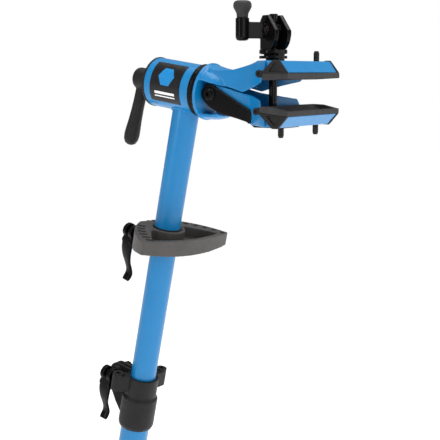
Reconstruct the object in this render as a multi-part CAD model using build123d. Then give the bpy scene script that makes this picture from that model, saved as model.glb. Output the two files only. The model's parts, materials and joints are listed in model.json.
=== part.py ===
from build123d import *
import os
from math import atan2, cos, degrees, hypot, radians, sin

os.makedirs("parts", exist_ok=True)

# Folding bike repair stand: a leaning telescopic post on a rear foot and two folding legs, with a
# tool tray, a rotating head and a screw clamp. Millimetres, +Z up, the clamp points to +X, and
# the origin is at floor level in the middle of the stand's footprint.

# ---------------------------------------------------------------- driving dimensions
POST_LEAN = 11.87  # degrees from vertical, towards the clamp
HEAD_DROOP = 8.25  # degrees that the head axis falls towards the clamp
POST_LENGTH = 1318.0  # floor to head axis, along the post
RUN = 0.06  # radial running clearance

LOWER_R, LOWER_BORE = 20.0, 18.0
UPPER_R, UPPER_BORE = 17.5, 15.5
LOWER_TOP, UPPER_END = -424.0, -880.0  # along the post, from the head axis
COLLAR_TOP, COLLAR_END = -410.0, -486.5

BOOT_R, BOOT_RISE = 25.0, 22.0  # rear rubber boot
LEG_R, LEG_BORE = 14.0, 12.2
LEG_REACH, LEG_SPREAD = 640.0, 400.0  # front foot centre from the rear foot
FOOT_R, FOOT_HEIGHT = 18.0, 17.0
HUB_S, HUB_HALF = -818.0, 42.0  # leg collar centre along the post, and its half height
HUB_R, PIVOT_R = 27.0, 52.0

TRAY_TOP, TRAY_THICK, TRAY_TURN = -190.0, 18.0, -10.3
TRAY_HUB_R = 24.5
TRAY_LOCK_X, TRAY_LOCK_Z = -44.0, -209.0  # skewer of the tray clamp

BARREL_R, BARREL_BORE = 31.6, 27.0
BARREL_REAR, BARREL_FRONT = -51.0, 20.4
RING_R, RING_FRONT = 33.5, 30.6
DISC_R, DISC_FRONT = 36.3, 35.0
SPINDLE_R, STUD_R = 13.9, 6.0

HINGE = (48.5, -7.0)  # lower jaw hinge, x and z from the head centre
ROD_X, ROD_R, ROD_TOP = 126.3, 5.0, 89.0
ROD_PIN_Z, ROD_PIN_R = -36.0, 3.5
NUT_Z, NUT_R = 71.0, 7.0  # barrel nut of the crank
CRANK_TURN = -114.6  # heading of the crank arm, from +X
EAR_IN, EAR_OUT = 6.1, 11.6  # crank ears, either side of the rod
KNOB_AT = (32.4, -18.8)  # crank boss from the rod axis, in the crank's own frame
JAW_HALF = 58.0  # jaw casting half length
CAP = 3.7  # end cap thickness

QR_EAR, QR_NUT_FACE, QR_REACH = 12.0, 12.0, 8.8
EAR_HALF, SADDLE_R = 6.5, 8.6  # ears either side of the split, and the saddles out to lever and nut
QR_PIN_Y = -(QR_EAR + 0.05 + QR_REACH)
HEIGHT_LOCK = (-43.0, 0, -418.5)  # skewer of the height collar, forward, across and up the post
BOSS_SPOTS = ((-23, -27, 8.0), (2, 38, 7.5))  # screw bosses of the height collar, with radius
BOSS_BORE = 3.2

# ---------------------------------------------------------------- frames
lean, droop = radians(POST_LEAN), radians(HEAD_DROOP)
X_REAR = -((LEG_REACH + FOOT_R) + (BOOT_RISE * sin(lean) - BOOT_R)) / 2
T = Vector(X_REAR + POST_LENGTH * sin(lean), 0, POST_LENGTH * cos(lean))
UP = Vector(sin(lean), 0, cos(lean))
FWD = Vector(cos(lean), 0, -sin(lean))
AXIS = Vector(cos(droop), 0, -sin(droop))
NORMAL = Vector(sin(droop), 0, cos(droop))
POST = Plane(origin=T, x_dir=FWD, z_dir=UP).location  # x forward, z up the post
HEAD = Plane(origin=T, x_dir=-NORMAL, z_dir=AXIS).location  # z along the head axis
CLAMP = Location(T)  # level frame at the head centre
CRANK = CLAMP * Pos(ROD_X, 0, NUT_Z) * Rot(0, 0, CRANK_TURN)
TRAY = POST * Rot(0, 0, TRAY_TURN)


# ---------------------------------------------------------------- helpers
def cyl(r, z0, z1):
    return Pos(0, 0, (z0 + z1) / 2) * Cylinder(r, z1 - z0)


def ring(r_out, r_in, z0, z1):
    return cyl(r_out, z0, z1) - cyl(r_in, z0 - 1, z1 + 1)


def xcyl(r, x0, x1, y=0, z=0):
    return Pos((x0 + x1) / 2, y, z) * Rot(0, 90, 0) * Cylinder(r, x1 - x0)


def ycyl(r, y0, y1, x=0, z=0):
    return Pos(x, (y0 + y1) / 2, z) * Rot(90, 0, 0) * Cylinder(r, y1 - y0)


def block(x0, x1, y0, y1, z0, z1):
    return Pos((x0 + x1) / 2, (y0 + y1) / 2, (z0 + z1) / 2) * Box(x1 - x0, y1 - y0, z1 - z0)


def hexagon(r, z0, z1):
    return Pos(0, 0, z0) * extrude(RegularPolygon(r, 6), z1 - z0)


def outline(points):
    return make_face(Polyline(*points, close=True))


def prism_xy(points, z0, z1):
    return Pos(0, 0, z0) * extrude(outline(points), z1 - z0)


def prism_xz(points, y0, y1):
    return Pos(0, y1, 0) * extrude(Plane.XZ * outline(points), y1 - y0)


def prism_yz(points, x0, x1):
    return Pos(x0, 0, 0) * extrude(Plane.YZ * outline(points), x1 - x0)


def spin(points):
    """Solid of revolution about z from (radius, z) points; the last side closes along the axis."""
    return revolve(Plane.XZ * outline([(0, points[0][1]), *points, (0, points[-1][1])]), Axis.Z)


def above_floor(shape):
    return shape & block(-1500, 1500, -1500, 1500, 0, 2000)


def save(name, shape):
    shape.label = name
    export_step(shape, f"parts/{name}.step")


def group(*shapes):
    return Compound(children=list(shapes))


# ---------------------------------------------------------------- quick-release sets
def qr_lever():
    """Closed cam lever: the cam turns on a pin along x at the origin, the blade hangs down -z."""
    path = Spline((0, -1, -4), (0, -6.5, -16), (0, -5.5, -31), (0, 1.5, -45), (0, 4.5, -56), (0, 0.5, -69))
    blade = sweep(Plane(path @ 0, x_dir=(1, 0, 0), z_dir=path % 0) * Rectangle(17, 5.2), path)
    lever = xcyl(QR_REACH - 0.8, -8.5, 8.5, y=0.8) + blade
    lever -= block(-3.3, 3.3, -12, 12, -5.3, 12)
    lever &= prism_xz([(-8.5, 12), (8.5, 12), (7, -40), (6.2, -80), (-6.2, -80), (-7, -40)], -20, 20)
    return lever - xcyl(2.5 + RUN, -10, 10)


def save_qr(prefix, place):
    """Saves lever, pin, skewer and nut of one clamp. `place` has its origin on the skewer's axis."""
    at_pin = place * Pos(0, QR_PIN_Y, 0)
    save(f"{prefix}_lever", at_pin * qr_lever())
    skewer = ycyl(2.5, QR_PIN_Y, QR_NUT_FACE + 9) + xcyl(5, -3, 3, y=QR_PIN_Y)
    save(f"{prefix}_skewer", place * (skewer - xcyl(2.5, -5, 5, y=QR_PIN_Y)))
    save(f"{prefix}_cam_pin", at_pin * xcyl(2.5, -8.5, 8.5))
    nut = ycyl(8, QR_NUT_FACE, QR_NUT_FACE + 8) - ycyl(2.5, 0, 40)
    for i in range(12):
        nut -= Rot(0, 30 * i, 0) * ycyl(1, QR_NUT_FACE - 1, QR_NUT_FACE + 9, x=8.3)
    save(f"{prefix}_nut", place * nut)


def clamp_ears(x_back, x_front, half):
    """Split clamp ears behind a collar, with round saddles along the skewer at `x_back`."""
    ears = block(x_back, x_front, -EAR_HALF, EAR_HALF, -half, half) + ycyl(half, -EAR_HALF, EAR_HALF, x=x_back)
    ears += ycyl(SADDLE_R, -QR_EAR, QR_NUT_FACE, x=x_back)
    return ears - block(x_back - half - 1, x_front, -2, 2, -half - 1, half + 1) - ycyl(2.6, -20, 20, x=x_back)


# ---------------------------------------------------------------- lower post and rear foot
def lower_tube():
    return POST * ring(LOWER_R, LOWER_BORE, 14 - POST_LENGTH, LOWER_TOP)


def rear_foot():
    low = -POST_LENGTH
    boot = cyl(BOOT_R, low + BOOT_RISE, low + 78) + Pos(0, 0, low + BOOT_RISE) * Sphere(BOOT_R)
    boot -= cyl(LOWER_R, low + 14, low + 90)
    for s in (46, 56, 66):
        boot -= ring(BOOT_R + 2, BOOT_R - 1.2, low + s, low + s + 4)
    return above_floor(POST * boot)


def height_collar():
    body = spin([(23.2, COLLAR_END), (25, COLLAR_END + 5), (25, -441), (22.2, -437.5), (22.2, COLLAR_TOP)])
    x_lock, _, z_lock = HEIGHT_LOCK
    body += Pos(0, 0, z_lock) * clamp_ears(x_lock, -18, 12)
    gusset = [(-54, z_lock), (-51, z_lock - 26), (-38, -463), (-24, -478), (-18, -478), (-18, z_lock)]
    body += prism_xz(gusset, -EAR_HALF, EAR_HALF)
    for x, y, r in BOSS_SPOTS:
        body += Rot(0, 0, degrees(atan2(y, x))) * block(0, hypot(x, y), -r, r, -433, -410)
        body += Pos(x, y) * cyl(r, -433, -407)
    body -= cyl(LOWER_R + 0.02, COLLAR_END - 1, LOWER_TOP)
    body -= cyl(19.6, LOWER_TOP - 1, -412) + cyl(UPPER_R + 0.5, -413, -400)
    body -= block(-60, -16, -2, 2, COLLAR_END - 1, -400) + Pos(0, 0, z_lock) * ycyl(2.6, -20, 20, x=x_lock)
    for x, y, _ in BOSS_SPOTS:
        body -= Pos(x, y) * cyl(BOSS_BORE, -440, -400)
    return POST * body


def height_liner():
    return POST * ring(19.6, UPPER_R + RUN, LOWER_TOP, -412)


# ---------------------------------------------------------------- folding legs
def foot_point(side):
    return Vector(X_REAR + LEG_REACH, side * LEG_SPREAD, FOOT_HEIGHT)


def leg_azimuth(side):
    reach = (foot_point(side) - T).dot(FWD)
    return atan2(side * LEG_SPREAD, reach)


def pivot_place(side):
    """Frame at a leg's pivot: x outwards from the post, y along the pivot bolt, z up the post."""
    return POST * Pos(0, 0, HUB_S) * Rot(0, 0, degrees(leg_azimuth(side))) * Pos(PIVOT_R, 0, 0)


def leg_place(side):
    """Frame at a leg's pivot: x along the pivot bolt, z down the leg, and the leg's length."""
    pivot = pivot_place(side)
    along = foot_point(side) - pivot.position
    azimuth = leg_azimuth(side)
    bolt = UP.cross(FWD * cos(azimuth) + Vector(0, sin(azimuth), 0))
    return Plane(origin=pivot.position, x_dir=bolt, z_dir=along).location, along.length


def leg_collar():
    body = ring(HUB_R, 22, HUB_S - HUB_HALF, HUB_S + HUB_HALF)
    body += Pos(0, 0, HUB_S) * clamp_ears(-40, -24, 14)
    body -= block(-60, -16, -2, 2, HUB_S - HUB_HALF - 1, HUB_S + HUB_HALF + 1)
    body = POST * body
    for side in (-1, 1):
        plates = block(24 - PIVOT_R, 0, -12.6, 12.6, -14, 14) + ycyl(14, -12.6, 12.6)
        plates -= block(-14, 20, -7.6, 7.6, -20, 20) + ycyl(5 + RUN, -20, 20)
        body += pivot_place(side) * plates
    return body - POST * cyl(22, HUB_S - 60, HUB_S + 60)


def leg_liner():
    sleeve = ring(22, LOWER_R + RUN, HUB_S - HUB_HALF, HUB_S + HUB_HALF)
    return POST * (sleeve - block(-30, 0, -2, 2, -900, -700))


def leg_bolts():
    return [pivot_place(side) * Rot(90, 0, 0) * (cyl(5, -17, 12.7) + hexagon(8, 12.7, 18)) for side in (-1, 1)]


def leg_nuts():
    return [pivot_place(side) * Rot(90, 0, 0) * (hexagon(8, -19, -12.7) - cyl(5, -20, 0)) for side in (-1, 1)]


def leg_tube(side):
    place, length = leg_place(side)
    return place * ring(LEG_R, LEG_BORE, 30, length - 4)


def leg_knuckle(side):
    place, _ = leg_place(side)
    tongue = xcyl(13, -7.2, 7.2) + block(-7.2, 7.2, -11, 11, 0, 28)
    return place * (tongue + cyl(LEG_R, 26, 30) + cyl(LEG_BORE, 30, 72) - xcyl(5 + RUN, -10, 10))


def leg_foot(side):
    place, length = leg_place(side)
    boot = cyl(16.8, length - 52, length) + Pos(0, 0, length) * Sphere(FOOT_R)
    return above_floor(place * (boot - cyl(LEG_R, length - 60, length - 4)))


# ---------------------------------------------------------------- upper post and barrel
def upper_tube():
    return POST * ring(UPPER_R, UPPER_BORE, UPPER_END, 0) - HEAD * cyl(BARREL_R, -60, 40)


def tube_glide():
    plug = cyl(UPPER_BORE - RUN, UPPER_END - 1, UPPER_END + 30)
    return POST * (cyl(LOWER_BORE - RUN, UPPER_END - 25, UPPER_END) + plug)


def head_barrel():
    return HEAD * ring(BARREL_R, BARREL_BORE, BARREL_REAR, BARREL_FRONT)


def bushing(z0, z1):
    return HEAD * ring(BARREL_BORE, SPINDLE_R + RUN, z0, z1)


def clutch_ring():
    body = ring(RING_R, SPINDLE_R + RUN, BARREL_FRONT, RING_FRONT)
    return HEAD * (body - ring(RING_R + 1, RING_R - 1.2, 24.6, 26.2))


def rear_cap():
    return HEAD * (ring(32.3, STUD_R + 0.3, -54, BARREL_REAR) + ring(16, STUD_R + 0.3, -55.8, -54))


def barrel_label():
    band = ring(BARREL_R + 0.45, BARREL_R, -41, 7)
    wedge = prism_xy([(0, 0), (-60, -34), (-60, -80), (60, -80), (60, -69)], -50, 20)
    return HEAD * (band & wedge)


def lock_handle():
    hub = spin([(10.5, -88), (13.5, -86.5), (14.5, -83), (14.5, -58.5), (13.5, -56)])
    arm = Pos(0, 0, -76.5) * Rot(0, 90, 0) * Rot(0, 9, 0) * spin(
        [(8.8, 0), (8.2, 16), (8, 30), (8.3, 44), (9, 58), (10, 70), (10.5, 78), (9.8, 85), (7.5, 90),
         (3.5, 92.5)])
    return HEAD * (hub + arm - cyl(STUD_R + RUN, -83, -50))


def head_spindle():
    return HEAD * (cyl(SPINDLE_R, -50.5, 36) + cyl(STUD_R, -82.5, -50.5) + cyl(8, 36, 41))


# ---------------------------------------------------------------- tool tray
HOLE_R = 3.8
HOLE_ARC = ThreePointArc((-8, 40.5), (14, 57.5), (38, 67))
SLOT_ARC = ThreePointArc((-15, -32), (8, -50), (36, -60.5))


def tray_outline(corner, side, heel, front):
    """Plan of the tray or its pocket: an arc in front and one along each side, straight at the heel."""
    mirrored = [(x, -y) for x, y in (corner, side, heel)]
    return make_face(Wire([
        ThreePointArc(mirrored[0], (front, 0), corner),
        ThreePointArc(corner, side, heel),
        Line(heel, mirrored[2]),
        ThreePointArc(mirrored[2], mirrored[1], mirrored[0]),
    ]))


def tray_holes():
    """Round tool holes along the left rim and slots along the right one."""
    cuts = []
    for i in range(5):
        spot = HOLE_ARC @ (i / 4)
        cuts.append(Pos(spot.X, spot.Y, TRAY_TOP) * Cylinder(HOLE_R, 80))
    for i in range(6):
        spot = SLOT_ARC @ (i / 5)
        cuts.append(Pos(spot.X, spot.Y, TRAY_TOP) * Rot(0, 0, 52) * Box(10.5, 7.2, 80))
    return cuts


TRAY_PLAN = tray_outline((41.5, 75.5), (10, 63), (-32, 21), 53)
POCKET_PLAN = tray_outline((38.5, 58.5), (21, 45.5), (3, 29), 48.5)


def tool_tray():
    low = TRAY_TOP - 32
    slope = [(-60, TRAY_TOP), (60, TRAY_TOP), (60, TRAY_TOP - 25), (42, TRAY_TOP - TRAY_THICK),
             (-60, low - 2.5)]
    tray = fillet((Pos(0, 0, low) * extrude(TRAY_PLAN, 32)).edges().filter_by(Axis.Z), 2.5)
    tray &= prism_xz(slope, -100, 100)
    tray -= Pos(0, 0, TRAY_TOP - 15) * extrude(POCKET_PLAN, 20) + Pos(0, 0, low - 1) * extrude(POCKET_PLAN, 15)
    tray += cyl(TRAY_HUB_R, TRAY_TOP - 26, TRAY_TOP)
    tray += block(-36, -18, -EAR_HALF, EAR_HALF, TRAY_TOP - 29, TRAY_TOP - 1)
    tray += Pos(0, 0, TRAY_LOCK_Z) * clamp_ears(TRAY_LOCK_X, -20, 11)
    tray -= block(-60, -16, -2, 2, low - 1, TRAY_TOP + 1)
    for cut in tray_holes():
        tray -= cut
    return TRAY * (tray - cyl(19.6, low - 1, TRAY_TOP + 1))


def tray_liner():
    return POST * (ring(19.6 - RUN, UPPER_R + RUN, TRAY_TOP - 26, TRAY_TOP + 1.2))


# ---------------------------------------------------------------- clamp head
ARM_PLAN = [(44, 20.5), (64, 20.8), (82, 21.5), (96, 23.2), (110, 27.5), (125, 36), (138, 47), (150, 57)]
LOWER_PLAN = [(36, 20.5), (60, 20.5), (84, 20.5), (97, 20.6), (107, 22.4), (116, 28.5),
              (126, 37), (138, 47.5), (150, 57)]


def fan(plan, inset, z0, z1):
    """Arm seen from above: a fan between two mirrored curves."""
    side = Spline(*[(x, y - inset) for x, y in plan])
    other = Spline(*[(x, inset - y) for x, y in plan])
    ends = [Line(side @ 1, other @ 1), Line(other @ 0, side @ 0)]
    return Pos(0, 0, z0) * extrude(make_face(Wire([side, ends[0], other, ends[1]])), z1 - z0)


UPPER_SIDE = [(40, 10.5), (96.5, -4.2), (112, 0.5), (138, 8), (141, 12.6), (141, 19), (150, 19), (150, 33.5),
              (128, 33.5), (112, 29.5), (80, 22.8), (60, 22), (40, 26)]
LOWER_SIDE = [(52, 5.4), (96.5, -5.6), (112, -8), (135, -13), (139, -26), (150, -26.9), (150, -43.6),
              (112.3, -43.6), (105.5, -38.8), (103, -36.9), (60, -26.6), (46, -19.5),
              (38, -10), (38, -2), (46, 5)]
UPPER_JAW = [(148.5, 18.9), (183, 18.9), (172.3, 33), (164, 33)]
UPPER_ROOT = [(146, 18.9), (160, 18.9), (168, 33), (146, 33)]  # where the arm runs into the jaw
LOWER_JAW = [(148.5, -26.75), (183, -30.4), (171, -43.6), (163.5, -43.6)]
LOWER_ROOT = [(146, -26.75), (160, -28.1), (168, -43.6), (146, -43.6)]
ROOT_HALF = 52.0


CHIN_OUTSIDE = [(34.5, DISC_FRONT - 1), (34.3, 40), (33.6, 46), (32.3, 53), (30, 60), (26, 67)]
CHIN_INSIDE = [(30.5, DISC_FRONT - 1), (30.5, 42), (29.6, 50), (27.6, 58), (24.2, 67)]
CHIN_HALF = 17.0  # half width of the dome's lower rim
YOKE_SWEEP = [(38, -5), (38, -18), (44, -22.4), (56.2, -31.8), (72.5, -38.8), (90, -38.8), (90, -5)]


def head_casting():
    axis_part = HEAD * (cyl(DISC_R, RING_FRONT + 0.05, DISC_FRONT) + spin(
        [(34.5, DISC_FRONT - 1), (34.3, 40), (33.6, 46), (32.3, 53), (30, 60), (26.5, 66), (21, 71)]))
    upper_half = prism_xz([(20, 15), (20, 60), (140, 60), (140, -16)], -80, 80)
    disc_zone = HEAD * cyl(60, 20, DISC_FRONT)
    casting = axis_part & (disc_zone + CLAMP * upper_half)
    chin_zone = block(20, 75, -CHIN_HALF, CHIN_HALF, -60, -20) - prism_xz(YOKE_SWEEP, -26, 26)
    chin = HEAD * (spin(CHIN_OUTSIDE) - spin(CHIN_INSIDE)) & CLAMP * chin_zone
    arm = fan(ARM_PLAN, 0, -20, 50) & prism_xz(UPPER_SIDE, -80, 80)
    hollow = fan(ARM_PLAN, 4, -20, 50) & prism_xz(
        [(66, -10), (66, 14), (80, 18.5), (112, 25.5), (128, 29.5), (143, 29.5), (143, -10)], -80, 80)
    arm -= hollow
    arm += Pos(ROD_X, 0, 0) * cyl(10.5, 21, 33.5)
    arm += prism_xz(UPPER_JAW, -JAW_HALF, JAW_HALF) + prism_xz(UPPER_ROOT, -ROOT_HALF, ROOT_HALF)
    lug = ycyl(12, -9.4, 9.4, *HINGE) + block(HINGE[0] - 15, HINGE[0] + 12, -9.4, 9.4, HINGE[1], 14)
    lug += block(30, HINGE[0], -9.4, 9.4, -16, 10)
    casting += chin + CLAMP * (arm + lug)
    casting -= HEAD * cyl(60, 0, RING_FRONT + 0.05)
    casting -= CLAMP * (ycyl(5, -20, 20, *HINGE) + Pos(ROD_X, 0, 0) * cyl(ROD_R + RUN, -30, 60))
    return casting - HEAD * (cyl(SPINDLE_R, 20, 36) + cyl(8, 30, 41))


def lower_jaw_arm():
    arm = fan(LOWER_PLAN, 0, -60, 30) & prism_xz(LOWER_SIDE, -80, 80)
    hollow = fan(LOWER_PLAN, 4, -60, 30) & prism_xz(
        [(66, 20), (66, -24.5), (104, -33), (112, -39.6), (143, -39.6), (143, 20)], -80, 80)
    seat = offset(outline(YOKE_SIDE), 0.3)
    for near, far in ((-60, -21.15), (21.15, 60)):
        arm -= Pos(0, far, 0) * extrude(Plane.XZ * seat, far - near)
    arm -= hollow + block(30, 66.5, -9.8, 9.8, -40, 20) + ycyl(14, -9.8, 9.8, *HINGE)
    for side in (-1, 1):
        arm += block(112, 144.5, min(side * 9, side * 13), max(side * 9, side * 13), -42, -26)
    slot = block(HINGE[0] + 75, HINGE[0] + 84, -15, 15, ROD_PIN_Z - 4.9, ROD_PIN_Z + 5.1)
    slot += ycyl(5, -15, 15, HINGE[0] + 75, ROD_PIN_Z + 0.1) + ycyl(5, -15, 15, HINGE[0] + 84, ROD_PIN_Z + 0.1)
    arm -= slot + block(116.5, 141.5, -8.9, 8.9, -50, -20)
    arm += prism_xz(LOWER_JAW, -JAW_HALF, JAW_HALF) + prism_xz(LOWER_ROOT, -ROOT_HALF, ROOT_HALF)
    return CLAMP * (arm - ycyl(5 + RUN, -40, 40, *HINGE))


YOKE_SIDE = [(57, 2), (101.8, -22), (107.8, -25), (110.6, -29.5), (110.9, -36), (107.5, -42.4), (103.8, -40),
             (90.6, -36.5), (77.2, -33.5), (60, -29.4), (46.3, -22), (40, -16), HINGE]
YOKE_INSIDE = [(20, 40), (130, 40), (130, -43.9), (112.2, -43.9), (105.4, -39.1), (102.9, -37.2), (60, -26.9),
               (58, -60), (20, -60)]
YOKE_STRIP = [(100, -36.5), (102.9, -37.2), (105.4, -39.1), (112.2, -43.9), (152, -43.9), (152, -46.6),
              (111.5, -46.6), (107.5, -43.4), (100, -39.1)]


def lower_yoke():
    yoke = prism_xz(YOKE_SIDE, -24.6, 24.6) + ycyl(12.4, -24.6, 24.6, *HINGE)
    yoke -= prism_xz(YOKE_INSIDE, -21.2, 21.2)
    yoke += prism_xz(YOKE_STRIP, -20, 20)
    return CLAMP * (yoke - ycyl(5 + RUN, -40, 40, *HINGE))


def hinge_bolt():
    head = Pos(HINGE[0], -24.8, HINGE[1]) * Rot(90, 0, 0) * (
        spin([(8.6, 0), (8.6, 1.2), (7.4, 2.9), (5, 4)]) - hexagon(2.9, 1.4, 5))
    return CLAMP * (ycyl(5, -24.8, 28, *HINGE) + head)


def hinge_nut():
    return CLAMP * Pos(HINGE[0], 0, HINGE[1]) * Rot(90, 0, 0) * (hexagon(8.5, -32, -24.8) - cyl(5, -28, 0))


UPPER_PAD = [(149.4, 10.7), (184, 12.6), (184, 18.85), (149.4, 18.85)]
LOWER_PAD = [(146, -19.4), (163, -19.8), (184, -24.4), (184, -30.4), (148, -26.65), (146, -26.3)]


UPPER_CHANNEL = [(152, 5), (152.4, 11.4), (158, 14.6), (166, 16.7), (176, 15.4), (180.4, 12.9), (180.6, 5)]
LOWER_CHANNEL = [(149.6, -15), (150, -20.2), (156, -23.4), (166, -26.5), (176, -27.6), (180.4, -24.9),
                 (180.6, -15)]


def jaw_pad(points, channel):
    """Rubber plate along a jaw: a shallow channel between two lips, closed at both ends."""
    pad = prism_xz(points, -JAW_HALF - CAP, JAW_HALF + CAP)
    return CLAMP * (pad - prism_xz(channel, 3 - JAW_HALF, JAW_HALF - 3))


UPPER_CAP = [(147.5, 18.9), (183.8, 18.9), (171.5, 34), (164.5, 34)]
LOWER_CAP = [(143.5, -26.4), (183.9, -30.5), (171, -44.6), (163.5, -44.6)]
UPPER_RECESS = [(158.4, 20.6), (173.6, 20.6), (168.3, 30.6), (166.2, 30.6)]
LOWER_RECESS = [(155.5, -29.4), (174.4, -31.3), (168.6, -40.6), (166, -40.6)]
UPPER_HOOK, LOWER_HOOK, HOOK_R = (144.9, 18.2), (141.5, -25.0), 4.4


def end_caps(points, recess, hook):
    """Moulded caps over both ends of a jaw, recessed, each with a round hook that snaps behind the arm."""
    caps = []
    for side in (-1, 1):
        near, far = sorted((side * JAW_HALF, side * (JAW_HALF + CAP)))
        cap = prism_xz(points, near, far) + ycyl(HOOK_R, near, far, *hook)
        cut_near, cut_far = sorted((side * (JAW_HALF + 1.6), side * (JAW_HALF + CAP + 1)))
        caps.append(CLAMP * (cap - prism_xz(recess, cut_near, cut_far) - ycyl(1.7, cut_near, cut_far, *hook)))
    return caps


def jaw_pegs(z0, z1):
    """Ribbed rubber pegs on the back of a jaw, from the jaw at z0 to their tapered tips at z1."""
    taper = 2.6 if z1 > z0 else -2.6
    peg = spin([(3.5, z0), (3.5, z1 - taper), (2.5, z1)])
    for i in range(8):
        peg -= Rot(0, 0, 45 * i) * Pos(3.6, 0, 0) * cyl(0.55, min(z0, z1) - 1, max(z0, z1) + 1)
    return [CLAMP * Pos(163, y, 0) * peg for y in (-40.5, 40.5)]


# ---------------------------------------------------------------- clamp rod and crank
def clamp_rod():
    rod = cyl(ROD_R, ROD_PIN_Z, ROD_TOP) + ycyl(7, -6, 6, z=ROD_PIN_Z)
    return CLAMP * Pos(ROD_X, 0, 0) * (rod - ycyl(ROD_PIN_R, -8, 8, z=ROD_PIN_Z))


def rod_pin():
    return CLAMP * ycyl(ROD_PIN_R, -14, 14, ROD_X, ROD_PIN_Z)


def thrust_washer():
    body = spin([(9, 33.5), (9, 36), (17, 36), (17, 39.4), (11.5, 39.4), (11.5, 41.2)])
    return CLAMP * Pos(ROD_X, 0, 0) * (body - cyl(ROD_R + 0.1, 20, 60))


def thrust_collar():
    body = spin([(14.5, 41.2), (17, 41.9), (17, 46.3), (15.8, 47)])
    return CLAMP * Pos(ROD_X, 0, 0) * (body - cyl(ROD_R + 0.1, 20, 60))


def barrel_nut():
    return CRANK * (xcyl(NUT_R, -EAR_OUT, EAR_OUT) - cyl(ROD_R + RUN, -20, 20))


def crank_ear(x0, x1):
    """One ear of the crank's fork: flat at the back and foot, slanted on top, round in front."""
    back = Polyline((11, -23.9), (-12, -23.9), (-12, 11), (-7, 16.6), (3.6, 16.6), (21.3, -1.8))
    front = ThreePointArc((21.3, -1.8), (20.4, -12), (11, -23.9))
    return Pos(x0, 0, 0) * extrude(Plane.YZ * make_face(Wire([*back.edges(), front])), x1 - x0)


def clamp_crank():
    crank = crank_ear(-EAR_OUT, -EAR_IN) + crank_ear(EAR_IN, EAR_OUT)
    crank += block(-EAR_OUT, EAR_OUT, -12, -8.4, -23.9, 9)
    crank += prism_xy([(EAR_IN, -7), (EAR_OUT, -6.5), (33.5, -13), (31, -24.5), (EAR_IN, -12)], -11, 8.6)
    crank += Pos(*KNOB_AT) * spin([(4.5, -13.7), (7, -12.6), (8.25, -9.5), (8.25, 13.6)])
    crank -= xcyl(NUT_R + RUN, -EAR_OUT - 1, EAR_OUT)
    return CRANK * (crank - Pos(*KNOB_AT) * cyl(3, -8, 20))


def knob_pin():
    return CRANK * Pos(*KNOB_AT) * cyl(3, -8, 27)


def crank_knob():
    knob = spin([(6.9, 13.8), (7, 16.5), (7.4, 19), (9.2, 22.3), (10.9, 25.6), (11.2, 28), (10.6, 31), (9, 33),
                 (6.5, 33.9)])
    return CRANK * Pos(*KNOB_AT) * (knob - cyl(3 + RUN, 5, 27.1))


# ---------------------------------------------------------------- the assembly
save("lower_tube", lower_tube())
save("rear_foot", rear_foot())
save("height_collar", height_collar())
save("height_liner", height_liner())
save_qr("height_lock", POST * Pos(*HEIGHT_LOCK))

save("leg_collar", leg_collar())
save("leg_liner", leg_liner())
save("leg_pivot_bolts", group(*leg_bolts()))
save("leg_pivot_nuts", group(*leg_nuts()))
save_qr("leg_lock", POST * Pos(-40, 0, HUB_S))
for side_name, side in (("left", 1), ("right", -1)):
    save(f"{side_name}_leg_tube", leg_tube(side))
    save(f"{side_name}_leg_knuckle", leg_knuckle(side))
    save(f"{side_name}_leg_foot", leg_foot(side))

save("upper_tube", upper_tube())
save("tube_glide", tube_glide())
save("head_barrel", head_barrel())
save("barrel_label", barrel_label())
save("front_bushing", bushing(8, BARREL_FRONT))
save("rear_bushing", bushing(BARREL_REAR, -39))
save("clutch_ring", clutch_ring())
save("rear_cap", rear_cap())
save("lock_handle", lock_handle())

save("tool_tray", tool_tray())
save("tray_liner", tray_liner())
save_qr("tray_lock", TRAY * Pos(TRAY_LOCK_X, 0, TRAY_LOCK_Z))

save("head_spindle", head_spindle())
save("head_casting", head_casting())
save("hinge_bolt", hinge_bolt())
save("hinge_nut", hinge_nut())
save("lower_jaw_arm", lower_jaw_arm())
save("lower_yoke", lower_yoke())
save("upper_jaw_pad", jaw_pad(UPPER_PAD, UPPER_CHANNEL))
save("lower_jaw_pad", jaw_pad(LOWER_PAD, LOWER_CHANNEL))
save("upper_jaw_caps", group(*end_caps(UPPER_CAP, UPPER_RECESS, UPPER_HOOK)))
save("lower_jaw_caps", group(*end_caps(LOWER_CAP, LOWER_RECESS, LOWER_HOOK)))
save("upper_jaw_pegs", group(*jaw_pegs(33, 45.3)))
save("lower_jaw_pegs", group(*jaw_pegs(-43.6, -56)))

save("clamp_rod", clamp_rod())
save("rod_pin", rod_pin())
save("thrust_washer", thrust_washer())
save("thrust_collar", thrust_collar())
save("barrel_nut", barrel_nut())
save("clamp_crank", clamp_crank())
save("knob_pin", knob_pin())
save("crank_knob", crank_knob())
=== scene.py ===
import bpy
import bmesh
import json
from math import ceil, cos, pi, radians, sin
from mathutils import Matrix, Vector


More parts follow.
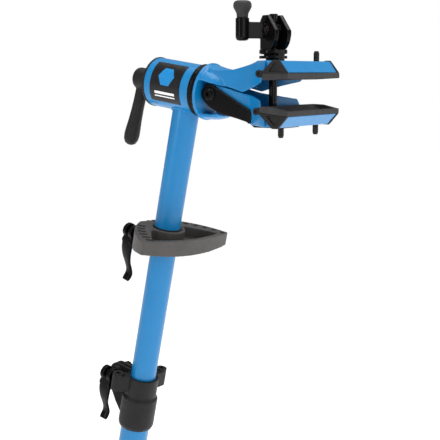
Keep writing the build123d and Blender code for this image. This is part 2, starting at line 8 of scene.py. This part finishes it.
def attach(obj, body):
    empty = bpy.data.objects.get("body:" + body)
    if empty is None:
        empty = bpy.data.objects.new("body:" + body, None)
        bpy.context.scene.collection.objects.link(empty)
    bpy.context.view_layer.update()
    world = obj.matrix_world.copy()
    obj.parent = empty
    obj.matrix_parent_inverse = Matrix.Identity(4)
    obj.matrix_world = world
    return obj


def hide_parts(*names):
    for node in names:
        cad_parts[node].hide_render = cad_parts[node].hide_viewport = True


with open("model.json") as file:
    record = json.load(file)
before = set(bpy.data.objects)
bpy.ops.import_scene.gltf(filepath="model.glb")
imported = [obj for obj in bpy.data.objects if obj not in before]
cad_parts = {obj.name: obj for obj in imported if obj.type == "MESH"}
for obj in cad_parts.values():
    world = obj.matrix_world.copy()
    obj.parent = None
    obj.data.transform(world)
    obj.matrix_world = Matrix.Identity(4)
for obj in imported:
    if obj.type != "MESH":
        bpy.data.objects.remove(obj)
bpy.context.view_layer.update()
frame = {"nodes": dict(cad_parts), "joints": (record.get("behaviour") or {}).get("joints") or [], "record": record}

# A folding bike repair stand. Places come from the frame's joints, in metres, and the sizes of the
# added pieces are in millimetres.
JOINTS = {joint["name"]: joint for joint in frame["joints"]}
SLOT_OF = {part["node"]: part["material_slot"] for part in frame["record"]["subparts"]}
BODIES = frame["record"]["behaviour"]["bodies"]
BODY_OF = {node: body for body, nodes in BODIES.items() for node in nodes}
MM = 0.001


def spot(joint):
    return Vector(JOINTS[joint]["pos_m"])


def heading(joint):
    return Vector(JOINTS[joint]["axis"]).normalized()


HEAD_AT = spot("head_turn")
AXIS = heading("head_turn")
POST_UP = heading("height_slide")
Y = Vector((0, 1, 0))


def place(origin, x_dir, z_dir):
    """Matrix of a frame with its x and z directions given."""
    x, z = x_dir.normalized(), z_dir.normalized()
    rows = Matrix((x, z.cross(x), z)).transposed().to_4x4()
    rows.translation = origin
    return rows


# ---------------------------------------------------------------- material nodes
WHITE = (1, 1, 1, 1)
GRAIN_DEPTH = 0.0004  # metres
BRUSH_DEPTH, BRUSH_RELIEF = 0.0003, 0.12
COAT_ROUGHNESS = 0.12


def node_tree(name):
    material = bpy.data.materials.new(name)
    material.use_nodes = True
    tree = material.node_tree
    return material, tree, tree.nodes["Principled BSDF"]


def link(tree, source, target):
    tree.links.new(source, target)


def noise(tree, scale, detail, stretch=(1, 1, 1)):
    """Noise in the piece's own coordinates, per metre."""
    coords = tree.nodes.new("ShaderNodeTexCoord")
    mapping = tree.nodes.new("ShaderNodeMapping")
    mapping.inputs["Scale"].default_value = stretch
    texture = tree.nodes.new("ShaderNodeTexNoise")
    texture.inputs["Scale"].default_value = scale
    texture.inputs["Detail"].default_value = detail
    link(tree, coords.outputs["Object"], mapping.inputs["Vector"])
    link(tree, mapping.outputs["Vector"], texture.inputs["Vector"])
    return texture.outputs["Fac"]


def remap(tree, value, source, target):
    """Maps the source range, a pair, to the target range."""
    node = tree.nodes.new("ShaderNodeMapRange")
    for socket, number in zip(node.inputs[1:5], (*source, *target)):
        socket.default_value = number
    link(tree, value, node.inputs["Value"])
    return node.outputs["Result"]


def mix_colour(tree, factor, one, two):
    """Mixes two colours, each three numbers or another node's output."""
    node = tree.nodes.new("ShaderNodeMix")
    node.data_type = "RGBA"
    for socket, colour in ((node.inputs[6], one), (node.inputs[7], two)):
        if isinstance(colour, bpy.types.NodeSocket):
            link(tree, colour, socket)
        else:
            socket.default_value = (*colour, 1)
    link(tree, factor, node.inputs[0])
    return node.outputs[2]


def multiply(tree, one, two):
    node = tree.nodes.new("ShaderNodeMath")
    node.operation = "MULTIPLY"
    link(tree, one, node.inputs[0])
    link(tree, two, node.inputs[1])
    return node.outputs[0]


def bump(tree, shader, height, strength, distance):
    node = tree.nodes.new("ShaderNodeBump")
    node.inputs["Strength"].default_value = strength
    node.inputs["Distance"].default_value = distance
    link(tree, height, node.inputs["Height"])
    link(tree, node.outputs["Normal"], shader.inputs["Normal"])


def edge_mask(tree):
    """One along convex edges, where a finish wears, and zero on flat ground."""
    geometry = tree.nodes.new("ShaderNodeNewGeometry")
    return remap(tree, geometry.outputs["Pointiness"], (0.53, 0.6), (0, 1))


def surface(name, colour, second, rough, grain, relief, shine=0.5, coat=0.0, worn=None):
    """A finish that varies between two colours, with uneven roughness and a fine grain.

    grain is the grain's scale and relief the strength of its bump. worn is the colour that shows
    through along edges.
    """
    material, tree, shader = node_tree(name)
    mottle = remap(tree, noise(tree, scale=38, detail=5), (0.35, 0.65), (0, 1))
    base = mix_colour(tree, mottle, colour, second)
    if worn:
        scuffs = remap(tree, noise(tree, scale=420, detail=6), (0.48, 0.62), (0, 0.55))
        base = mix_colour(tree, multiply(tree, edge_mask(tree), scuffs), base, worn)
    link(tree, base, shader.inputs["Base Color"])
    smears = noise(tree, scale=160, detail=5)
    link(tree, remap(tree, smears, (0.3, 0.7), rough), shader.inputs["Roughness"])
    shader.inputs["Specular IOR Level"].default_value = shine
    shader.inputs["Coat Weight"].default_value = coat
    shader.inputs["Coat Roughness"].default_value = COAT_ROUGHNESS
    bump(tree, shader, noise(tree, grain, detail=3), relief, GRAIN_DEPTH)
    return material


def brushed(name, colour, rough):
    """Bright metal with fine brushed lines."""
    material, tree, shader = node_tree(name)
    lines = noise(tree, scale=900, detail=4, stretch=(1, 1, 0.06))
    shade = [0.7 * c for c in colour]
    link(tree, mix_colour(tree, lines, shade, colour), shader.inputs["Base Color"])
    link(tree, remap(tree, lines, (0.3, 0.7), rough), shader.inputs["Roughness"])
    shader.inputs["Metallic"].default_value = 1.0
    bump(tree, shader, lines, BRUSH_RELIEF, BRUSH_DEPTH)
    return material


# ---------------------------------------------------------------- finishes
LOOKS = {
    "blue_enamel": dict(
        colour=(0.001, 0.180, 0.440), second=(0.002, 0.190, 0.460),
        rough=(0.28, 0.38), grain=900, relief=0.04, shine=0.35, coat=0.15),
    "black_nylon": dict(
        colour=(0.006, 0.005, 0.005), second=(0.009, 0.008, 0.008),
        rough=(0.40, 0.54), grain=2600, relief=0.35, shine=0.24, worn=(0.05, 0.048, 0.046)),
    "black_metal": dict(
        colour=(0.002, 0.002, 0.002), second=(0.004, 0.003, 0.003),
        rough=(0.12, 0.22), grain=700, relief=0.05, shine=0.12, worn=(0.06, 0.057, 0.054)),
    "black_rubber": dict(
        colour=(0.004, 0.004, 0.004), second=(0.007, 0.006, 0.006),
        rough=(0.45, 0.6), grain=1800, relief=0.4, shine=0.25),
    "jaw_rubber": dict(
        colour=(0.024, 0.023, 0.024), second=(0.032, 0.031, 0.032),
        rough=(0.55, 0.72), grain=2200, relief=0.5, shine=0.3),
    "label": dict(
        colour=(0.006, 0.006, 0.007), second=(0.009, 0.009, 0.010),
        rough=(0.22, 0.3), grain=600, relief=0.04, shine=0.3),
    "nylon": dict(
        colour=(0.52, 0.52, 0.50), second=(0.60, 0.59, 0.57),
        rough=(0.4, 0.5), grain=1500, relief=0.2),
    "grey_plastic": dict(
        colour=(0.054, 0.050, 0.047), second=(0.068, 0.063, 0.059),
        rough=(0.40, 0.55), grain=2400, relief=0.5, shine=0.4, worn=(0.14, 0.135, 0.13)),
    "label_blue": dict(
        colour=(0.004, 0.21, 0.52), second=(0.005, 0.22, 0.54),
        rough=(0.24, 0.3), grain=600, relief=0.04),
    "label_pale": dict(
        colour=(0.78, 0.79, 0.80), second=(0.84, 0.84, 0.85),
        rough=(0.3, 0.36), grain=600, relief=0.04),
}
FINISHES = {name: surface(name, **look) for name, look in LOOKS.items()}
FINISHES["steel"] = brushed("steel", (0.60, 0.60, 0.61), (0.22, 0.42))

LOCKS = ("height", "leg", "tray")

# Nodes whose finish isn't the one of their material slot.
OWN_FINISH = {
    "tool_tray": "grey_plastic",
    "crank_knob": "jaw_rubber",
    "tray_liner": "black_nylon",
    "clutch_ring": "black_metal",
    "barrel_nut": "black_metal",
    **{f"{jaw}_jaw_{piece}": "black_nylon"
       for jaw in ("upper", "lower") for piece in ("caps", "pegs")},
    **{f"{lock}_lock_{piece}": "black_metal"
       for lock in LOCKS for piece in ("skewer", "cam_pin", "nut")},
}


def finish_cad_nodes():
    for name, node in frame["nodes"].items():
        material = FINISHES[OWN_FINISH.get(name, SLOT_OF[name])]
        if node.material_slots:
            for material_slot in node.material_slots:
                material_slot.material = material
        else:
            node.data.materials.append(material)


# ---------------------------------------------------------------- building pieces
SAME_POINT = 1e-6  # metres


def add_piece(name, mesh, body, slot, replaced=(), finish=None, matrix=None):
    """Puts a mesh in the scene as a piece of the object that rides on a body."""
    if matrix is not None:
        mesh.transform(matrix)
    mesh.materials.clear()
    mesh.materials.append(FINISHES[finish or slot])
    piece = bpy.data.objects.new(name, mesh)
    bpy.context.scene.collection.objects.link(piece)
    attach(piece, body)
    if replaced:
        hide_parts(*replaced)


def mesh_of(name, points, faces):
    """Smooth-shaded mesh with its normals outwards."""
    mesh = bpy.data.meshes.new(name)
    mesh.from_pydata([tuple(p) for p in points], [], faces)
    mesh.validate()
    work = bmesh.new()
    work.from_mesh(mesh)
    bmesh.ops.recalc_face_normals(work, faces=work.faces)
    work.to_mesh(mesh)
    work.free()
    for polygon in mesh.polygons:
        polygon.use_smooth = True
    return mesh


def rings_mesh(name, rings, closed_ends=True):
    """Skin over a list of rings that all have the same number of points."""
    count = len(rings[0])
    points = [p for ring in rings for p in ring]
    faces = []
    for start in range(0, len(points) - count, count):
        following = start + count
        for i in range(count):
            j = (i + 1) % count
            faces.append((start + i, start + j, following + j, following + i))
    if closed_ends:
        faces.append(tuple(range(count))[::-1])
        faces.append(tuple(range(len(points) - count, len(points))))
    return mesh_of(name, points, faces)


def catmull(points, steps):
    """Smooth curve through points, as a list of tuples."""
    padded = [points[0], *points, points[-1]]
    curve = []
    for a, b, c, d in zip(padded, padded[1:], padded[2:], padded[3:]):
        for k in range(steps):
            t = k / steps
            curve.append(tuple(
                0.5 * (2 * q + (r - p) * t + (2 * p - 5 * q + 4 * r - s) * t ** 2
                       + (3 * q - p - 3 * r + s) * t ** 3)
                for p, q, r, s in zip(a, b, c, d)))
    return [*curve, tuple(points[-1])]


def merge_points(mesh):
    """Makes one point of those that lie together."""
    work = bmesh.new()
    work.from_mesh(mesh)
    bmesh.ops.remove_doubles(work, verts=work.verts, dist=SAME_POINT)
    work.to_mesh(mesh)
    work.free()


def rounded(mesh, voxel, passes):
    """The mesh with its parts merged and its sharp edges rounded, as on a casting or a moulding."""
    merge_points(mesh)
    helper = bpy.data.objects.new("helper", mesh)
    bpy.context.scene.collection.objects.link(helper)
    merge = helper.modifiers.new("merge", "REMESH")
    merge.mode = "VOXEL"
    merge.voxel_size = voxel * MM
    merge.use_smooth_shade = True
    soften = helper.modifiers.new("soften", "SMOOTH")
    soften.factor = 0.5
    soften.iterations = passes
    graph = bpy.context.evaluated_depsgraph_get()
    result = bpy.data.meshes.new_from_object(helper.evaluated_get(graph))
    bpy.data.objects.remove(helper)
    return result


def joined(name, *meshes):
    """One mesh with copies of several."""
    work = bmesh.new()
    for mesh in meshes:
        work.from_mesh(mesh)
    result = bpy.data.meshes.new(name)
    work.to_mesh(result)
    work.free()
    return result


# ---------------------------------------------------------------- moulded and cast pieces
# CAD nodes that get rounded edges: voxel size in millimetres, and smoothing passes.
ROUNDED_NODES = {
    "head_casting": (0.9, 7),
    "lower_jaw_arm": (0.9, 7),
    "lower_yoke": (0.7, 3),
    "tool_tray": (0.7, 3),
    "height_collar": (0.8, 4),
    "leg_collar": (1.0, 4),
    "clamp_crank": (0.55, 8),
    "lock_handle": (0.7, 12),
    "upper_jaw_caps": (0.45, 3),
    "lower_jaw_caps": (0.45, 3),
    "upper_jaw_pad": (0.6, 2),
    "lower_jaw_pad": (0.6, 2),
    "left_leg_knuckle": (0.9, 4),
    "right_leg_knuckle": (0.9, 4),
    "thrust_washer": (0.4, 3),
    "thrust_collar": (0.4, 3),
    "rear_cap": (0.6, 3),
    "clutch_ring": (0.6, 2),
    "crank_knob": (0.45, 4),
    "rear_foot": (0.9, 4),
    "left_leg_foot": (0.9, 4),
    "right_leg_foot": (0.9, 4),
}


def rounded_copy(node, voxel, passes):
    """Stands for a CAD node: the same shape with moulded edges."""
    mesh = rounded(frame["nodes"][node].data.copy(), voxel, passes)
    add_piece(f"{node}_shell", mesh, BODY_OF[node], SLOT_OF[node], [node], OWN_FINISH.get(node))


# ---------------------------------------------------------------- quick-release levers
# Sizes are about the cam pin: x along the pin, y along the skewer towards its nut, z up the post.
BLADE = [  # y, z, width and thickness, from the cam to the tip
    (-4.2, -2, 18.0, 10.0),
    (-5.6, -12, 18.6, 9.4),
    (-6.4, -22, 18.0, 8.4),
    (-4.8, -33, 15.0, 6.8),
    (-0.6, -45, 10.0, 5.0),
    (3.2, -54, 10.0, 5.2),
    (4.2, -61, 12.0, 6.2),
    (1.6, -67, 12.6, 6.0),
    (-0.8, -70.5, 11.6, 3.4),
]
BLADE_STEPS, BLADE_SEGMENTS = 6, 20
FLAT_EDGES, FLAT_FACES = 1.18, 1.25  # how far the section's ellipse overshoots before it is cut flat
CROWN = 0.22  # how much thinner the blade is at its edges
CHEEK_R, CHEEK_THICK, CHEEK_STARTS = 9.9, 5.9, (-8.8, 2.9)
CHEEK_AT = (-1.3, 0.7)
NECK_R, NECK_HALF = 6.5, 8.9
NECK_AT = (-3.6, -12.2)
DISC_SEGMENTS = 40


def clipped(value):
    return max(-1, min(1, value))


def lever_blade():
    """Crowned blade swept down an S-shaped path."""
    stations = catmull(BLADE, BLADE_STEPS)
    rings = []
    for i, (y, z, width, thick) in enumerate(stations):
        before, after = stations[max(i - 1, 0)], stations[min(i + 1, len(stations) - 1)]
        along = Vector((0, after[0] - before[0], after[1] - before[1])).normalized()
        out = Vector((1, 0, 0)).cross(along)
        ring = []
        for k in range(BLADE_SEGMENTS):
            angle = 2 * pi * k / BLADE_SEGMENTS
            across = width / 2 * clipped(FLAT_EDGES * cos(angle))
            crown = 1 - CROWN * (2 * across / width) ** 2
            deep = thick / 2 * clipped(FLAT_FACES * sin(angle)) * crown
            ring.append((Vector((across, y, z)) + out * deep) * MM)
        rings.append(ring)
    return rings_mesh("blade", rings)


def disc(radius, ends, centre):
    """Disc across the pin, between two x ends and centred on (y, z)."""
    y, z = centre
    angles = [2 * pi * i / DISC_SEGMENTS for i in range(DISC_SEGMENTS)]
    rim = [((y + radius * cos(a)) * MM, (z + radius * sin(a)) * MM) for a in angles]
    return rings_mesh("disc", [[(x * MM, *point) for point in rim] for x in ends])


def quick_release(lock):
    """Cam lever with two round cheeks at its head and a curled tip."""
    node, joint = f"{lock}_lock_lever", f"{lock}_lever_flip"
    cheeks = [disc(CHEEK_R, (start, start + CHEEK_THICK), CHEEK_AT) for start in CHEEK_STARTS]
    neck = disc(NECK_R, (-NECK_HALF, NECK_HALF), NECK_AT)
    lever = rounded(joined("lever", lever_blade(), *cheeks, neck), voxel=0.55, passes=4)
    matrix = place(spot(joint), -heading(joint), POST_UP)
    add_piece(f"{lock}_lever_shell", lever, BODY_OF[node], "black_metal", [node], matrix=matrix)


# ---------------------------------------------------------------- barrel
BARREL_R = 31.6
HEAD = place(HEAD_AT, Y.cross(AXIS), AXIS)
BEND_STEP = 4  # degrees between the folds that bend a film round the barrel
FILM_LIFT, FILM_THICK = 0.46, 0.12

# On the barrel, places are millimetres along the axis and degrees round it.
HEXAGON_AT, HEXAGON_REACH = (-17.0, -112.0), (12.5, 24)
BAR_ENDS = (-33, -1)
BAR_SIDES = ((-76, -70), (-66, -63))

POST_R = 17.5
BEAD_R, BEAD_OUT = 1.9, 0.2  # the weld's radius, and how far its centre is out of the post
BEAD_STATIONS, BEAD_SEGMENTS = 72, 12
RIPPLES, RIPPLE_DEPTH = 26, 0.12
BEAD_DEEPEST = -60.0  # the weld is between here and the axis, along the post
HALVINGS = 30


def barrel_patch(name, outline, finish):
    """Raised film with the given outline, bent to the barrel."""
    cut = bmesh.new()
    face = cut.faces.new([cut.verts.new((a, b, 0)) for a, b in outline])
    bmesh.ops.triangulate(cut, faces=[face])
    low, high = [pick(v.co.y for v in cut.verts) for pick in (min, max)]
    for k in range(1, ceil((high - low) / BEND_STEP)):
        everything = cut.verts[:] + cut.edges[:] + cut.faces[:]
        bmesh.ops.bisect_plane(
            cut, geom=everything, plane_co=(0, low + BEND_STEP * k, 0), plane_no=(0, 1, 0))
    grown = bmesh.ops.extrude_face_region(cut, geom=cut.faces[:])
    for vertex in [g for g in grown["geom"] if isinstance(g, bmesh.types.BMVert)]:
        vertex.co.z = FILM_THICK
    for vertex in cut.verts:
        along, angle, rise = vertex.co.x, radians(vertex.co.y), vertex.co.z
        reach = (BARREL_R + FILM_LIFT + rise) * MM
        vertex.co = (reach * cos(angle), reach * sin(angle), along * MM)
    mesh = bpy.data.meshes.new(name)
    bmesh.ops.recalc_face_normals(cut, faces=cut.faces)
    cut.to_mesh(mesh)
    cut.free()
    add_piece(name, mesh, "mast", "label", finish=finish, matrix=HEAD)


def label():
    """Plain graphic: a blue hexagon and pale bars on the black film."""
    (along, angle), (length, spread) = HEXAGON_AT, HEXAGON_REACH
    corners = [pi * k / 3 for k in range(6)]
    hexagon = [(along + length * cos(c), angle + spread * sin(c)) for c in corners]
    barrel_patch("label_hexagon", hexagon, "label_blue")
    start, end = BAR_ENDS
    for k, (low, high) in enumerate(BAR_SIDES):
        bar = [(start, low), (end, low), (end, high), (start, high)]
        barrel_patch(f"label_bar_{k + 1}", bar, "label_pale")


def barrel_surface(out):
    """How far along the post the barrel's underside is, on the post's side that faces out."""
    low, high = BEAD_DEEPEST, 0.0
    for _ in range(HALVINGS):
        middle = (low + high) / 2
        point = out * POST_R + POST_UP * middle
        away = (point - AXIS * point.dot(AXIS)).length
        low, high = (middle, high) if away > BARREL_R else (low, middle)
    return low


def weld_bead():
    """Weld where the post meets the barrel's underside, with the ripple of a hand-laid bead."""
    forward = Y.cross(POST_UP)
    angles = [2 * pi * k / BEAD_SEGMENTS for k in range(BEAD_SEGMENTS)]
    rings = []
    for i in range(BEAD_STATIONS):
        angle = 2 * pi * i / BEAD_STATIONS
        out = forward * cos(angle) + Y * sin(angle)
        centre = out * (POST_R + BEAD_OUT) + POST_UP * barrel_surface(out)
        size = BEAD_R * (1 + RIPPLE_DEPTH * sin(RIPPLES * angle))
        rings.append([HEAD_AT + (centre + (out * cos(a) + POST_UP * sin(a)) * size) * MM
                      for a in angles])
    mesh = rings_mesh("weld", [*rings, rings[0]], closed_ends=False)
    merge_points(mesh)
    add_piece("barrel_weld", mesh, "mast", "blue_enamel")


# ---------------------------------------------------------------- surroundings
AIM = HEAD_AT - Vector((0, 0, 0.25))
LIGHTS = [  # name, metres from the aim, size, watts
    ("strip", (-0.75, -2.2, 0.9), (0.4, 2.2), 16),
    ("front", (2.1, -1.3, 0.7), (1.6, 1.8), 18),
    ("overhead", (0.2, 0.1, 2.6), (2.2, 2.2), 66),
    ("rim", (2.2, 1.6, 0.6), (0.6, 2.0), 18),
]
BACKDROP, AMBIENT = 1.0, 0.36  # the white surroundings, as the camera sees them and as they light
FLOOR_SIZE, FLOOR_ROUGHNESS, FLOOR_GLOW = 60, 0.8, 0.68
FLOOR_COLOURS = (0.91, 0.91, 0.91), (0.93, 0.93, 0.93)

CAMERA_FROM_HEAD = (0.75019, -0.99538, 0.02070)
CAMERA_AZIMUTH, CAMERA_ELEVATION = 35.22, 8.82
SENSOR, FOCAL_LENGTH = 36, 78.29


def soft_light(name, offset, size, energy):
    """Area light aimed at the upper part of the stand."""
    lamp = bpy.data.lights.new(name, "AREA")
    lamp.shape = "RECTANGLE"
    lamp.size, lamp.size_y = size
    lamp.energy = energy
    light = bpy.data.objects.new(name, lamp)
    light.location = AIM + Vector(offset)
    light.rotation_euler = Vector(offset).to_track_quat("Z", "Y").to_euler()
    bpy.context.scene.collection.objects.link(light)


def white_world():
    world = bpy.data.worlds.new("studio")
    bpy.context.scene.world = world
    world.use_nodes = True
    tree = world.node_tree
    background = tree.nodes["Background"]
    paths = tree.nodes.new("ShaderNodeLightPath")
    level = remap(tree, paths.outputs["Is Camera Ray"], (0, 1), (AMBIENT, BACKDROP))
    link(tree, level, background.inputs["Strength"])
    background.inputs["Color"].default_value = WHITE


def pale_floor():
    bpy.ops.mesh.primitive_plane_add(size=FLOOR_SIZE, location=(0, 0, 0))
    floor = bpy.context.object
    floor.name = "floor"
    material, tree, shader = node_tree("pale_floor")
    clouds = noise(tree, scale=3, detail=4)
    link(tree, mix_colour(tree, clouds, *FLOOR_COLOURS), shader.inputs["Base Color"])
    shader.inputs["Roughness"].default_value = FLOOR_ROUGHNESS
    shader.inputs["Emission Color"].default_value = WHITE
    shader.inputs["Emission Strength"].default_value = FLOOR_GLOW
    floor.data.materials.append(material)


def camera():
    """The camera stands level with the clamp, right of it, and looks slightly down."""
    azimuth, elevation = radians(CAMERA_AZIMUTH), radians(CAMERA_ELEVATION)
    right = Vector((cos(azimuth), sin(azimuth), 0))
    back = Vector((sin(azimuth) * cos(elevation), -cos(azimuth) * cos(elevation), sin(elevation)))
    lens = bpy.data.cameras.new("camera")
    lens.sensor_width, lens.lens = SENSOR, FOCAL_LENGTH
    eye = bpy.data.objects.new("camera", lens)
    eye.matrix_world = place(HEAD_AT + Vector(CAMERA_FROM_HEAD), right, back)
    bpy.context.scene.collection.objects.link(eye)
    bpy.context.scene.camera = eye


# ---------------------------------------------------------------- the object and its surroundings
finish_cad_nodes()
for node, (voxel, passes) in ROUNDED_NODES.items():
    rounded_copy(node, voxel, passes)
for lock in LOCKS:
    quick_release(lock)
label()
weld_bead()
white_world()
pale_floor()
for light in LIGHTS:
    soft_light(*light)
camera()
bpy.context.scene.view_settings.view_transform = "Standard"
